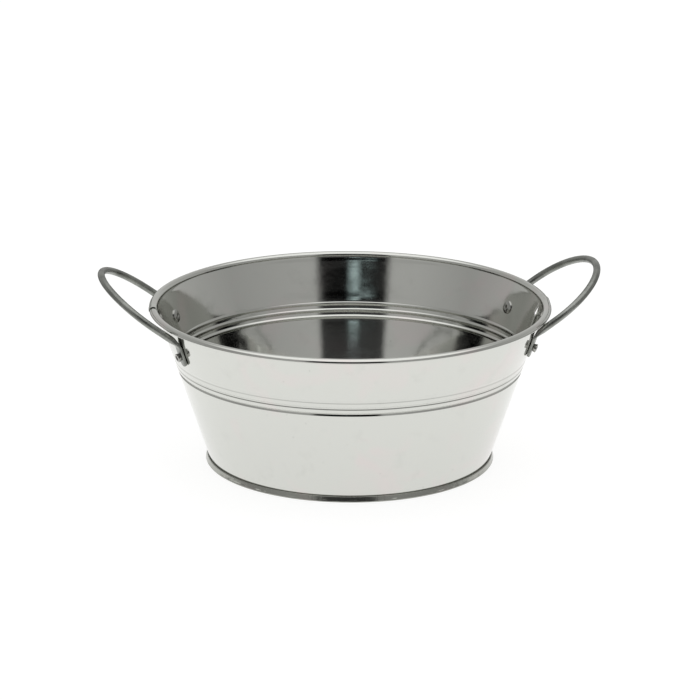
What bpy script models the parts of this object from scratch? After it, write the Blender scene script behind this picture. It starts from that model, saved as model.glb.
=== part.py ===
"""Shallow round tub of bright sheet steel with a rolled rim, rolled beads and two riveted wire handles.

Metres, +Z up. The origin is on the tub's axis, on the surface that it stands on. +X points through the right
handle and -Y through the front half of the wall.
"""

import math

import bpy
import numpy as np
from mathutils import Matrix, Vector

# Sheet and folds
SHEET = 0.00035               # thickness of the steel sheet
GAP = 0.00025                 # clearance between folded layers
LAYER = SHEET + GAP           # spacing of the mid-surfaces of two neighbouring layers
SECTORS = 48                  # flat facets round the tub
FACET = 2 * math.pi / SECTORS

# Wall
RIM_RADIUS = 0.130            # outside of the rolled rim
HEIGHT = 0.1044               # top of the rolled rim
RING_HEIGHT = 0.0038          # top of the seamed ring at the foot
FOOT_RADIUS = 0.0924          # outside of the wall just above the ring
WALL_SLOPE = 0.3335           # outward run per unit of height
CURL_WIDTH = 0.0054
CURL_HEIGHT = 0.0032
CURL_START, CURL_END, CURL_STEPS = math.radians(210), math.radians(-125), 10
CURL_LEAD = 0.0013            # height of the wall's last straight row below the middle of the curl

# Beads
BEAD_LOWEST = 0.0629          # height of the lowest bead's middle
BEAD_PITCH = 0.0043
BEAD_WIDTH = 0.0034
BEAD_DEPTHS = (0.00080, 0.00065, 0.00055)  # from the lowest bead up
BEAD_BOTTOM = 0.18            # half of a bead's flat bottom, as a share of its width

# Lock seams
SEAM_REACH = 0.0024           # from the seam's middle to the centre of each fold
SEAM_LOW, SEAM_HIGH = 0.012, 0.094
SEAM_RAMP = 0.003             # height over which the joggle runs out
JOGGLE_INNER, JOGGLE_OUTER = 0.0035, 0.0043
BUTT = 0.0002                 # half the gap between the halves above and below the seam

# Base
PANEL_HEIGHT = 0.0030         # mid-surface of the bottom panel
CORNER = 0.0005               # bend radius of the base's corners

# Handles
WIRE_RADIUS = 0.0023
PADDLE_HALF_WIDTH = 0.00335
PADDLE_HALF_THICKNESS = 0.0010
PADDLE_END = 0.0781           # height of the lower end of each flattened end
PADDLE_CLEARANCE = 0.0003     # between a flattened end and the wall
WIRE_START = 0.0908           # height where the wire is round again
KINK = 0.0938                 # height of the bend away from the wall
KINK_REACH = 0.0045           # length that the bend takes on each side of its corner
LOOP_TILT = math.radians(36.8)
LOOP_REACH = 0.0555           # from the bends to the end of the loop
LEG_LENGTH = 0.0155           # straight part of each leg
LOOP_STEPS = 8
WIRE_SIDES = 10
FLAT_POWER = 0.38             # exponent that squares a flattened section; 1 leaves it round
TURN_STATION, TURN_STATIONS = 7, 4  # where the section's axes turn from the wall's to the loop's

# Rivets
RIVET_TURN = math.radians(22.2)
RIVET_HEIGHT = 0.0844
SHANK_RADIUS = 0.00175
HOLE_RADIUS = 0.00205
HOLE_REACH = 0.004
FLANGE_RADIUS = 0.0045
FLANGE_THICKNESS = 0.0012
FLANGE_CLEARANCE = 0.00045
FLANGE_DOME = (0.75, 0.05)    # where the flange's face ends: shares of its radius and thickness
FLANGE_EDGE = 0.5             # where its rim begins, as a share of its thickness
BULB_RADIUS = 0.0028
BULB_LENGTH = 0.0025
BULB_SHAPE = ((0.90, 0.0), (1.0, 0.30), (0.93, 0.75))  # shares of the bulb's radius and length
BULB_CLEARANCE = 0.0003
BORE_RADIUS = 0.0011
CAVITY_RADIUS = 0.0017
CAVITY_DEPTH = 0.0018
STEM_RADIUS = 0.0008
HEAD_RADIUS = 0.0014
HEAD_SHAPE = ((1.0, -0.0002), (0.75, 0.0003), (0.35, 0.0005))  # share of its radius, height over the rivet
MANDREL_CLEARANCE = 0.0003
RIVET_SIDES = 12

# Colour, roughness and metallic value of each material
FINISHES = {
    "bright_tinplate": ((0.72, 0.73, 0.71), 0.16, 1.0),
    "tinplate_base": ((0.62, 0.63, 0.61), 0.22, 1.0),
    "plated_wire": ((0.52, 0.53, 0.52), 0.28, 1.0),
    "rivet_steel": ((0.58, 0.58, 0.57), 0.30, 1.0),
    "mandrel_steel": ((0.30, 0.30, 0.30), 0.40, 1.0),
}

foot_mid = FOOT_RADIUS - SHEET / 2
fold_low = SHEET / 2 + 2 * LAYER            # centre height of the wall's bottom fold
fold_high = RING_HEIGHT - SHEET / 2 - LAYER  # centre height of the fold at the ring's top
slope_angle = math.atan(WALL_SLOPE)


def clear_scene():
    """Remove every object of the scene that the script starts in."""
    for item in list(bpy.data.objects):
        bpy.data.objects.remove(item, do_unlink=True)


def make_material(name):
    """Principled material of the named finish."""
    colour, roughness, metallic = FINISHES[name]
    material = bpy.data.materials.new(name)
    material.use_nodes = True
    shader = material.node_tree.nodes["Principled BSDF"]
    shader.inputs["Base Color"].default_value = (*colour, 1.0)
    shader.inputs["Roughness"].default_value = roughness
    shader.inputs["Metallic"].default_value = metallic
    material.diffuse_color = (*colour, 1.0)
    return material


def make_mesh(name, points, faces, material, crease=40):
    """Mesh of the given points and faces, shaded smooth with sharp creases."""
    mesh = bpy.data.meshes.new(name)
    mesh.from_pydata([tuple(point) for point in points], [], faces)
    mesh.materials.append(material)
    mesh.shade_smooth()
    mesh.set_sharp_from_angle(angle=math.radians(crease))
    return mesh


def place(name, mesh, matrix=None):
    """Object of that name in the scene, at the given matrix."""
    item = bpy.data.objects.new(name, mesh)
    if matrix is not None:
        item.matrix_world = matrix
    bpy.context.scene.collection.objects.link(item)
    return item


def thicken(item):
    """Give a sheet its thickness, half to each side of its mid-surface."""
    solid = item.modifiers.new("sheet_thickness", "SOLIDIFY")
    solid.thickness = SHEET
    solid.offset = 0.0
    solid.use_even_offset = True
    solid.use_quality_normals = True


def cut(item, cutter):
    """Cut a hole in the item with a closed cutter."""
    hole = item.modifiers.new("hole_" + cutter.name, "BOOLEAN")
    hole.operation = "DIFFERENCE"
    hole.object = cutter
    hole.solver = "EXACT"


def arc(centre, radius, start, end, steps):
    """Points on an arc from one angle to another, both ends included."""
    angles = np.linspace(start, end, steps + 1)
    return [(centre[0] + radius * math.cos(t), centre[1] + radius * math.sin(t)) for t in angles]


def polygon_radius(radius, angle):
    """Radius at that angle of the regular polygon whose corners lie on the circle."""
    half = FACET / 2
    return radius * math.cos(half) / math.cos(angle % FACET - half)


# Wall ---------------------------------------------------------------------------------------------------------

def wall_radius(z):
    """Mid-surface radius of the plain wall at that height."""
    return foot_mid + WALL_SLOPE * (z - RING_HEIGHT)


def wall_profile(relief=1.0):
    """Mid-surface of the wall from the flange in the foot seam to the end of the rim's curl.

    The relief is 0 for the same rows with no beads.
    """
    rows = [(foot_mid + 2 * LAYER, fold_high)]
    rows += arc((foot_mid + LAYER, fold_low), LAYER, 0.0, -math.pi, 4)
    rows.append((foot_mid, RING_HEIGHT))
    rows += [(wall_radius(z), z) for z in (SEAM_LOW - SEAM_RAMP, SEAM_LOW)]
    rows += bead_rows(relief)
    rows += [(wall_radius(z), z) for z in (SEAM_HIGH, SEAM_HIGH + SEAM_RAMP)]
    rows += curl_rows()
    return rows


def bead_rows(relief):
    """Rolled beads, each a shallow groove pressed in from the outside, from the lowest up."""
    rows = []
    for index, depth in enumerate(BEAD_DEPTHS):
        middle = BEAD_LOWEST + BEAD_PITCH * index
        for share, sunk in ((-0.5, 0.0), (-BEAD_BOTTOM, depth), (BEAD_BOTTOM, depth), (0.5, 0.0)):
            z = middle + share * BEAD_WIDTH
            inward = relief * sunk
            rows.append((wall_radius(z) - inward * math.cos(slope_angle), z + inward * math.sin(slope_angle)))
    return rows


def curl_rows():
    """Rim rolled outwards as an oval that nearly closes on the wall."""
    across, up = (CURL_WIDTH - SHEET) / 2, (CURL_HEIGHT - SHEET) / 2
    centre_r, centre_z = RIM_RADIUS - SHEET / 2 - across, HEIGHT - SHEET / 2 - up
    lead_z = centre_z - CURL_LEAD
    rows = [(wall_radius(lead_z), lead_z)]
    for turn in np.linspace(CURL_START, CURL_END, CURL_STEPS + 1):
        rows.append((centre_r + across * math.cos(turn), centre_z + up * math.sin(turn)))
    return rows


def profile_normals(rows):
    """Unit normals of the profile, pointing to the tub's inside on the plain wall."""
    along = np.gradient(np.array(rows), axis=0)
    normals = np.stack([-along[:, 1], along[:, 0]], axis=1)
    return normals / np.linalg.norm(normals, axis=1, keepdims=True)


def seam_columns():
    """Columns round one half of the wall: start angle, distance along the wall from it, depth and kind.

    The kind is full for a column of the whole wall, joggle for one that is pressed in only at the seam, and hook
    for one that exists only between the seam's ends.
    """
    deep = 3 * LAYER
    columns = [(0.0, SEAM_REACH, LAYER, "hook")]
    fold = arc((-SEAM_REACH, 2 * LAYER), LAYER, -math.pi / 2, -3 * math.pi / 2, 4)
    columns += [(0.0, distance, depth, "hook") for distance, depth in fold]
    columns += [(0.0, BUTT, deep, "joggle"), (0.0, JOGGLE_INNER, deep, "joggle")]
    columns.append((0.0, JOGGLE_OUTER, 0.0, "full"))
    columns += [(FACET * step, 0.0, 0.0, "full") for step in range(1, SECTORS // 2)]
    columns.append((math.pi, -BUTT, 0.0, "full"))
    fold = arc((SEAM_REACH, LAYER), LAYER, -math.pi / 2, math.pi / 2, 4)
    columns += [(math.pi, distance, depth, "hook") for distance, depth in fold]
    columns.append((math.pi, -SEAM_REACH, 2 * LAYER, "hook"))
    return columns


def shell_mesh(name, material):
    """Half of the wall from 0 to 180 degrees, as a sheet with a hook along each end."""
    rows = wall_profile()
    normals = profile_normals(wall_profile(relief=0.0))
    columns = seam_columns()
    points = []
    for (radius, z), (normal_r, normal_z) in zip(rows, normals):
        seamed = SEAM_LOW - 1e-6 < z < SEAM_HIGH + 1e-6
        for start, distance, depth, kind in columns:
            angle = start + distance / radius
            sunk = depth if seamed or kind == "hook" else 0.0
            reach = polygon_radius(radius, angle) + sunk * normal_r
            points.append((reach * math.cos(angle), reach * math.sin(angle), z + sunk * normal_z))
    width = len(columns)
    faces = []
    for row in range(len(rows) - 1):
        seamed = rows[row][1] > SEAM_LOW - 1e-6 and rows[row + 1][1] < SEAM_HIGH + 1e-6
        for column in range(width - 1):
            hooked = "hook" in (columns[column][3], columns[column + 1][3])
            if hooked and not seamed:
                continue
            corner = row * width + column
            faces.append((corner, corner + 1, corner + width + 1, corner + width))
    used = sorted({index for face in faces for index in face})
    renumber = {old: new for new, old in enumerate(used)}
    faces = [tuple(renumber[index] for index in face) for face in faces]
    return make_mesh(name, [points[index] for index in used], faces, material)


# Base ---------------------------------------------------------------------------------------------------------

def base_profile():
    """Mid-surface of the base from the panel's edge to the end that is tucked into the foot seam."""
    inner, outer = foot_mid - LAYER, foot_mid + 3 * LAYER
    ground = SHEET / 2
    rows = arc((inner - CORNER, PANEL_HEIGHT - CORNER), CORNER, math.pi / 2, 0.0, 1)
    rows += arc((inner + CORNER, ground + CORNER), CORNER, math.pi, 1.5 * math.pi, 1)
    rows += arc((outer - CORNER, ground + CORNER), CORNER, -math.pi / 2, 0.0, 1)
    rows += arc((outer - LAYER, fold_high), LAYER, 0.0, math.pi, 4)
    rows.append((outer - 2 * LAYER, fold_low))
    return rows


def base_mesh(name, material):
    """Base disc turned round the tub's axis, closed at its middle."""
    rows = base_profile()
    points = [(0.0, 0.0, PANEL_HEIGHT)]
    for radius, z in rows:
        for sector in range(SECTORS):
            angle = sector * FACET
            points.append((radius * math.cos(angle), radius * math.sin(angle), z))
    faces = [(0, 1 + sector, 1 + (sector + 1) % SECTORS) for sector in range(SECTORS)]
    for row in range(len(rows) - 1):
        for sector in range(SECTORS):
            here, there = 1 + row * SECTORS + sector, 1 + row * SECTORS + (sector + 1) % SECTORS
            faces.append((here, here + SECTORS, there + SECTORS, there))
    return make_mesh(name, points, faces, material)


# Rivets -------------------------------------------------------------------------------------------------------

def rivet_matrix(azimuth):
    """Frame on the wall's outer face at a rivet, with +Z along the wall's outward normal."""
    outward = Vector((math.cos(azimuth), math.sin(azimuth), 0.0))
    normal = outward * math.cos(slope_angle) - Vector((0.0, 0.0, math.sin(slope_angle)))
    radius = FOOT_RADIUS + WALL_SLOPE * (RIVET_HEIGHT - RING_HEIGHT)
    spot = outward * radius + Vector((0.0, 0.0, RIVET_HEIGHT))
    across = Vector((-math.sin(azimuth), math.cos(azimuth), 0.0))
    return Matrix.Translation(spot) @ Matrix((across, normal.cross(across), normal)).transposed().to_4x4()


def turned_mesh(name, profile, material, closed):
    """Profile of (radius, height) points turned round Z; an open profile is capped by a point at each end."""
    points, faces = [], []
    rings = len(profile)
    for radius, height in profile:
        for side in range(RIVET_SIDES):
            angle = 2 * math.pi * side / RIVET_SIDES
            points.append((radius * math.cos(angle), radius * math.sin(angle), height))
    for ring in range(rings if closed else rings - 1):
        for side in range(RIVET_SIDES):
            after = (side + 1) % RIVET_SIDES
            low, high = ring * RIVET_SIDES, (ring + 1) % rings * RIVET_SIDES
            faces.append((low + side, low + after, high + after, high + side))
    if not closed:
        faces.append(tuple(reversed(range(RIVET_SIDES))))
        faces.append(tuple(range((rings - 1) * RIVET_SIDES, rings * RIVET_SIDES)))
    return make_mesh(name, points, faces, material)


def rivet_levels():
    """Heights along a rivet of its flange's face, flange's back, bulb's foot and bulb's end."""
    back = -SHEET - FLANGE_CLEARANCE
    bulb = PADDLE_CLEARANCE + 2 * PADDLE_HALF_THICKNESS + BULB_CLEARANCE
    return back - FLANGE_THICKNESS, back, bulb, bulb + BULB_LENGTH


def rivet_mesh(material):
    """Blind rivet: domed flange inside the tub, tubular shank, and the bulbed tail outside."""
    face, back, bulb, end = rivet_levels()
    profile = [
        (BORE_RADIUS, face),
        (FLANGE_DOME[0] * FLANGE_RADIUS, face + FLANGE_DOME[1] * FLANGE_THICKNESS),
        (FLANGE_RADIUS, face + FLANGE_EDGE * FLANGE_THICKNESS),
        (FLANGE_RADIUS, back),
        (SHANK_RADIUS, back),
        (SHANK_RADIUS, bulb),
        *((share * BULB_RADIUS, bulb + part * BULB_LENGTH) for share, part in BULB_SHAPE),
        (CAVITY_RADIUS + SHEET, end),
        (CAVITY_RADIUS, end),
        (CAVITY_RADIUS, end - CAVITY_DEPTH),
        (BORE_RADIUS, end - CAVITY_DEPTH),
    ]
    return turned_mesh("rivet_body", profile, material, closed=True)


def mandrel_mesh(material):
    """What is left of the mandrel: a broken stem and the head that spread the rivet's tail."""
    face, back, _, end = rivet_levels()
    seat = end - CAVITY_DEPTH + MANDREL_CLEARANCE
    profile = [
        (STEM_RADIUS, (face + back) / 2),
        (STEM_RADIUS, seat),
        (HEAD_RADIUS, seat),
        *((share * HEAD_RADIUS, end + height) for share, height in HEAD_SHAPE),
    ]
    return turned_mesh("rivet_mandrel", profile, material, closed=False)


def hole_cutter(name, matrix):
    """Hidden cylinder on a rivet's axis, through the wall and the handle's flattened end."""
    points, count = [], 2 * RIVET_SIDES
    for height in (-HOLE_REACH, HOLE_REACH):
        for side in range(count):
            angle = 2 * math.pi * (side + 0.5) / count
            points.append((HOLE_RADIUS * math.cos(angle), HOLE_RADIUS * math.sin(angle), height))
    faces = [tuple(reversed(range(count))), tuple(range(count, 2 * count))]
    faces += [(s, (s + 1) % count, count + (s + 1) % count, count + s) for s in range(count)]
    mesh = bpy.data.meshes.new(name)
    mesh.from_pydata(points, [], faces)
    cutter = place(name, mesh, matrix)
    cutter.hide_render = True
    cutter.display_type = "WIRE"
    return cutter


# Handles ------------------------------------------------------------------------------------------------------

def leg_point(z, lift):
    """Point on the rear leg's line up the wall, lifted off the wall's outer face."""
    radius = FOOT_RADIUS + WALL_SLOPE * (z - RING_HEIGHT) + lift * math.cos(slope_angle)
    height = z - lift * math.sin(slope_angle)
    return Vector((radius * math.cos(RIVET_TURN), radius * math.sin(RIVET_TURN), height))


def ease(value):
    """Smooth step from 0 to 1."""
    value = min(max(value, 0.0), 1.0)
    return value * value * (3 - 2 * value)


def handle_stations():
    """Half of the handle, from a flattened end to the loop's tip: centre, half width, half thickness, squareness.

    The flattened end lies on the wall, the wire bends away from it, and a straight leg runs into a half ellipse
    in a plane tilted upwards.
    """
    flat_lift = PADDLE_CLEARANCE + PADDLE_HALF_THICKNESS
    round_lift = PADDLE_CLEARANCE + WIRE_RADIUS
    stations = []
    for part in (0.03, 0.20, 0.50, 1.0):
        z = PADDLE_END + part * PADDLE_HALF_WIDTH
        half = PADDLE_HALF_WIDTH * math.sqrt(1 - (1 - part) ** 2)
        stations.append((leg_point(z, flat_lift), half, PADDLE_HALF_THICKNESS, 1.0))
    flat_top = RIVET_HEIGHT + PADDLE_HALF_WIDTH
    for part in (0.0, 0.35, 0.7, 1.0):
        z = flat_top + part * (WIRE_START - flat_top)
        rounding = ease(part)
        lift = flat_lift + rounding * (round_lift - flat_lift)
        half_width = PADDLE_HALF_WIDTH + rounding * (WIRE_RADIUS - PADDLE_HALF_WIDTH)
        half_thickness = PADDLE_HALF_THICKNESS + rounding * (WIRE_RADIUS - PADDLE_HALF_THICKNESS)
        stations.append((leg_point(z, lift), half_width, half_thickness, 1 - rounding))
    corner = leg_point(KINK, round_lift)
    outward = Vector((math.cos(LOOP_TILT), 0.0, math.sin(LOOP_TILT)))
    before = stations[-1][0]
    after = corner + outward * KINK_REACH
    for t in (0.25, 0.5, 0.75, 1.0):
        bend = before * (1 - t) ** 2 + corner * 2 * t * (1 - t) + after * t ** 2
        stations.append((bend, WIRE_RADIUS, WIRE_RADIUS, 0.0))
    middle = Vector((corner.x, 0.0, corner.z)) + outward * LEG_LENGTH
    half_loop = corner.y
    for step in range(LOOP_STEPS + 1):
        turn = math.pi / 2 * step / LOOP_STEPS
        sideways = Vector((0.0, half_loop * math.cos(turn), 0.0))
        spot = middle + sideways + outward * (LOOP_REACH - LEG_LENGTH) * math.sin(turn)
        stations.append((spot, WIRE_RADIUS, WIRE_RADIUS, 0.0))
    return stations


def handle_mesh(name, material):
    """Wire swept along both halves of the handle, the front half being the mirror image of the rear one."""
    stations = handle_stations()
    centres = [station[0] for station in stations]
    wall_normal = rivet_matrix(RIVET_TURN).to_3x3().col[2]
    loop_normal = Vector((math.sin(LOOP_TILT), 0.0, -math.cos(LOOP_TILT)))
    sections = []
    for index, (centre, half_width, half_thickness, squareness) in enumerate(stations):
        if index == len(stations) - 1:
            along = Vector((0.0, -1.0, 0.0))
        else:
            along = (centres[index + 1] - centres[max(index - 1, 0)]).normalized()
        turned = ease((index - TURN_STATION) / TURN_STATIONS)
        guide = wall_normal.lerp(loop_normal, turned)
        up = (guide - along * guide.dot(along)).normalized()
        side = up.cross(along)
        power = 1.0 + squareness * (FLAT_POWER - 1.0)
        ring = []
        for corner in range(WIRE_SIDES):
            angle = 2 * math.pi * (corner + 0.5) / WIRE_SIDES
            c, s = math.cos(angle), math.sin(angle)
            x = half_width * math.copysign(abs(c) ** power, c)
            y = half_thickness * math.copysign(abs(s) ** power, s)
            ring.append(centre + side * x + up * y)
        sections.append(ring)
    mirrored = [[Vector((p.x, -p.y, p.z)) for p in ring] for ring in reversed(sections[:-1])]
    sections += mirrored
    points = [point for ring in sections for point in ring]
    faces = [tuple(reversed(range(WIRE_SIDES)))]
    for ring in range(len(sections) - 1):
        for corner in range(WIRE_SIDES):
            low, after = ring * WIRE_SIDES, (corner + 1) % WIRE_SIDES
            faces.append((low + corner, low + after, low + WIRE_SIDES + after, low + WIRE_SIDES + corner))
    last = (len(sections) - 1) * WIRE_SIDES
    faces.append(tuple(range(last, last + WIRE_SIDES)))
    return make_mesh(name, points, faces, material, crease=50)


# Assembly -----------------------------------------------------------------------------------------------------

def build():
    """Make every piece of the tub."""
    clear_scene()
    materials = {name: make_material(name) for name in FINISHES}
    half_turn = Matrix.Rotation(math.pi, 4, "Z")

    half_wall = shell_mesh("half_wall", materials["bright_tinplate"])
    shells = {
        "rear": place("shell_rear", half_wall),
        "front": place("shell_front", half_wall, half_turn),
    }
    base = place("base_disc", base_mesh("base_disc", materials["tinplate_base"]))
    for sheet in (*shells.values(), base):
        thicken(sheet)

    wire = handle_mesh("wire_handle", materials["plated_wire"])
    handles = {
        "right": place("handle_right", wire),
        "left": place("handle_left", wire, half_turn),
    }

    rivet = rivet_mesh(materials["rivet_steel"])
    mandrel = mandrel_mesh(materials["mandrel_steel"])
    spots = {
        ("right", "rear"): RIVET_TURN,
        ("right", "front"): -RIVET_TURN,
        ("left", "rear"): math.pi - RIVET_TURN,
        ("left", "front"): math.pi + RIVET_TURN,
    }
    for (side, half), azimuth in spots.items():
        spot = f"{side}_{half}"
        matrix = rivet_matrix(azimuth)
        place("rivet_" + spot, rivet, matrix)
        place("mandrel_" + spot, mandrel, matrix)
        cutter = hole_cutter("cutter_" + spot, matrix)
        cut(shells[half], cutter)
        cut(handles[side], cutter)


build()
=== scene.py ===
import math
import bpy
import numpy as np
from mathutils import Matrix, Vector


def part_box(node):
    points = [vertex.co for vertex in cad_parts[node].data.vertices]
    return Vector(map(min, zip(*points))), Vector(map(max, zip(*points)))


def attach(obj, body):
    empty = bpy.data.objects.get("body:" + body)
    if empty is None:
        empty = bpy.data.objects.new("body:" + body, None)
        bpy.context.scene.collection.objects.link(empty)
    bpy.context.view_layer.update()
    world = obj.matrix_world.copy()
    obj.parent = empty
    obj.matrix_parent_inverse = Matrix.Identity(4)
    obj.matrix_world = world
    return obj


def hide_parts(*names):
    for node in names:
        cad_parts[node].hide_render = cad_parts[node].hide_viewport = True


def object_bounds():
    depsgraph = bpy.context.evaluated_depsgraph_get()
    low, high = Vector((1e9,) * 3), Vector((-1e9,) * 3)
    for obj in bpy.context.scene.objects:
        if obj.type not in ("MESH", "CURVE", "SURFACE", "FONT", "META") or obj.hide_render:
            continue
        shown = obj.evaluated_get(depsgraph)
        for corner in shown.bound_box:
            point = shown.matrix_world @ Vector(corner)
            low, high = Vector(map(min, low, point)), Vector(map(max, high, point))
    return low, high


# Shallow round tub of bright tinplate: two half walls joined by lock seams, a base seamed on at the foot,
# and two wire handles held by blind rivets. Metres, +Z up, +X through the right handle, -Y to the front.

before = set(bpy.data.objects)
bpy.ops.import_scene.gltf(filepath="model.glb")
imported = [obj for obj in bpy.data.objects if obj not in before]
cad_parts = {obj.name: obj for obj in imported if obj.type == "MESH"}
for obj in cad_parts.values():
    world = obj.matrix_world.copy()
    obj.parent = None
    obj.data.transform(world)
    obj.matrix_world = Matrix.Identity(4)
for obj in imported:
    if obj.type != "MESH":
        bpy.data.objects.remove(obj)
cadLow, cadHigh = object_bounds()
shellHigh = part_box("shell_rear")[1]
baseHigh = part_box("base_disc")[1]
print("frame loaded:", len(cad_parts), "nodes")

sheet = {"thickness": 0.00035, "layer": 0.0006}  # layer: from the middle of one folded layer to the next
footMid = baseHigh.y - 3 * sheet["layer"] - sheet["thickness"] / 2  # middle of the wall's sheet at the foot


def linear(code):
    # sRGB hex code to linear light, channel by channel through the sRGB curve
    parts = [int(code[i:i + 2], 16) / 255 for i in (0, 2, 4)]
    return [c / 12.92 if c <= 0.04045 else ((c + 0.055) / 1.055) ** 2.4 for c in parts] + [1.0]


def addNode(tree, kind, values=None, links=None, **settings):
    # one shader node with its settings, its sockets' values and the outputs that feed it
    node = tree.nodes.new("ShaderNode" + kind)
    for key, value in settings.items():
        setattr(node, key, value)
    for key, value in (values or {}).items():
        node.inputs[key].default_value = value
    for key, output in (links or {}).items():
        tree.links.new(output, node.inputs[key])
    return node


def between(pair):
    # the two input levels that a map range node runs between
    return {"From Min": pair[0], "From Max": pair[1]}


def ease(x):
    # smooth step: 0 below 0, 1 above 1, and 3x^2 - 2x^3 between
    x = np.clip(x, 0.0, 1.0)
    return x * x * (3 - 2 * x)


def span(start, end, count):
    # evenly spaced values from start up to, but without, end
    return np.linspace(start, end, count, endpoint=False)


def roundTurn(count):
    # angles evenly spaced round a full turn, without its end
    return np.arange(count) * 2 * math.pi / count


def polar(radius, angle, height):
    # points from their distances to the Z axis, their angles round it and their heights, as whole arrays
    return np.stack(np.broadcast_arrays(radius * np.cos(angle), radius * np.sin(angle), height), axis=-1)


def lengthAlong(points):
    # distance from the first point to each point of a line
    steps = np.linalg.norm(np.diff(points, axis=0), axis=1)
    return np.concatenate([[0.0], np.cumsum(steps)])


def gridMesh(name, points, uv, material, around=False, keep=None, caps=()):
    # mesh of a grid of points, row by row; around joins each row's end to its start, keep says which cells
    # there are, and each row in caps is closed by one flat face
    rows, columns = points.shape[:2]
    r, c = np.meshgrid(np.arange(rows - 1), np.arange(columns if around else columns - 1), indexing="ij")
    if keep is not None:
        r, c = r[keep], c[keep]
    corners = ((0, 0), (0, 1), (1, 1), (1, 0))
    faces = np.stack([(r + a) * columns + (c + b) % columns for a, b in corners], axis=-1).reshape(-1, 4)
    places = np.stack([(r + a) * uv.shape[1] + c + b for a, b in corners], axis=-1).reshape(-1)
    used, faces = np.unique(faces, return_inverse=True)
    faceList = faces.reshape(-1, 4).tolist()
    capUv = []
    for row in caps:
        ring = np.searchsorted(used, row * columns + np.arange(columns)).tolist()
        faceList.append(ring[::-1] if row == 0 else ring)
        capUv.append(uv[row, :columns][::-1] if row == 0 else uv[row, :columns])
    mesh = bpy.data.meshes.new(name)
    mesh.from_pydata(points.reshape(-1, 3)[used].tolist(), [], faceList)
    layer = mesh.uv_layers.new(name="sheetUv")
    allUv = np.concatenate([uv.reshape(-1, 2)[places], *capUv])
    layer.data.foreach_set("uv", allUv.astype(np.float32).ravel())
    mesh.materials.append(material)
    piece = bpy.data.objects.new(name, mesh)
    bpy.context.scene.collection.objects.link(piece)
    return piece


def settle(piece, sharp=40):
    # puts the result of a piece's modifiers into its mesh, shaded smooth and creased where it folds by more
    # than sharp degrees
    graph = bpy.context.evaluated_depsgraph_get()
    mesh = bpy.data.meshes.new_from_object(piece.evaluated_get(graph))
    piece.modifiers.clear()
    piece.data = mesh
    mesh.shade_smooth()
    mesh.set_sharp_from_angle(angle=math.radians(sharp))


def thicken(piece):
    # gives a sheet its thickness, half to each side, then settles it
    solid = piece.modifiers.new("thickness", "SOLIDIFY")
    solid.thickness = sheet["thickness"]
    solid.offset = 0.0
    solid.use_even_offset = True
    solid.use_quality_normals = True
    settle(piece)


def assign(piece, node):
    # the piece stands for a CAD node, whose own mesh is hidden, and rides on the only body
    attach(piece, "root")
    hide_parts(node)


camera = {
    "azimuth": -6.2,        # degrees, 0 looks along +Y
    "elevation": 16.75,
    "distance": 1.986,
    "lens": 157.2,
    "roll": 0.23,
    "aim": 0.5587,          # height looked at, as a share of the whole height
}


def makeCamera():
    # looks at the tub's axis from the front, a little from above, through a long lens
    turn, rise = math.radians(camera["azimuth"]), math.radians(camera["elevation"])
    back = Vector((math.sin(turn) * math.cos(rise), -math.cos(turn) * math.cos(rise), math.sin(rise)))
    target = Vector((0.0, 0.0, cadLow.z + camera["aim"] * (cadHigh.z - cadLow.z)))
    lens = bpy.data.cameras.new("camera")
    lens.lens = camera["lens"]
    lens.clip_end = 100.0
    item = bpy.data.objects.new("camera", lens)
    item.rotation_mode = "QUATERNION"
    item.location = target + back * camera["distance"]
    roll = Matrix.Rotation(math.radians(camera["roll"]), 3, "Z")
    item.rotation_quaternion = ((-back).to_track_quat("-Z", "Y").to_matrix() @ roll).to_quaternion()
    bpy.context.scene.collection.objects.link(item)
    bpy.context.scene.camera = item


makeCamera()
print("camera placed")


studio = {
    "floorSize": 30.0,
    "floorGlow": 0.86,      # light of the lit table itself
    "floorFar": 0.10,       # what is left of it far from the tub, as the metal sees it
    "floorLit": 0.20,       # distances from the tub's axis over which the table's light falls off
    "floorDim": 0.52,
    "floorColour": "8E8E8C",
    "floorRoughness": 0.85,
    "floorSpecular": 0.1,
    "backdrop": 1.0,        # what the camera sees beyond the floor
    "overhead": 1.15,
    "overheadFrom": 42.0,   # elevation in degrees where the ceiling's light begins, and where it is full
    "overheadFull": 60.0,
    "room": (               # brightness of the room at eye level by bearing from the camera, degrees
        (-180, 0.54), (-120, 0.42), (-80, 0.33), (-45, 0.42), (-27, 0.44), (-22.5, 0.0),
        (19, 0.0), (23, 0.42), (45, 0.38), (80, 0.33), (120, 0.42), (180, 0.54),
    ),
    "roomBlue": 0.985,      # blue in the room's light against its red and green
    "doorway": "C3D8DA",    # pale strip of daylight in the dark part of the room
    "doorwayLight": 1.0,
    "doorwayMiddle": -2.5,  # bearing of the strip's upright part
    "doorwayHalf": 2.6,
    "doorwayOuter": 2.2,    # shares of that half between which the strip's edge fades
    "doorwayInner": 0.3,
    "doorwayHook": -11.0,   # how far its head runs aside, and between which elevations
    "hookFrom": 22.3,
    "hookTo": 23.4,
    "doorwayFoot": 20.8,    # elevations between which it fades in
    "doorwayFull": 21.6,
    "doorwayHead": 24.2,    # where it has faded out
    "glimmer": 0.05,        # what little light there is below the strip
}


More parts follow.
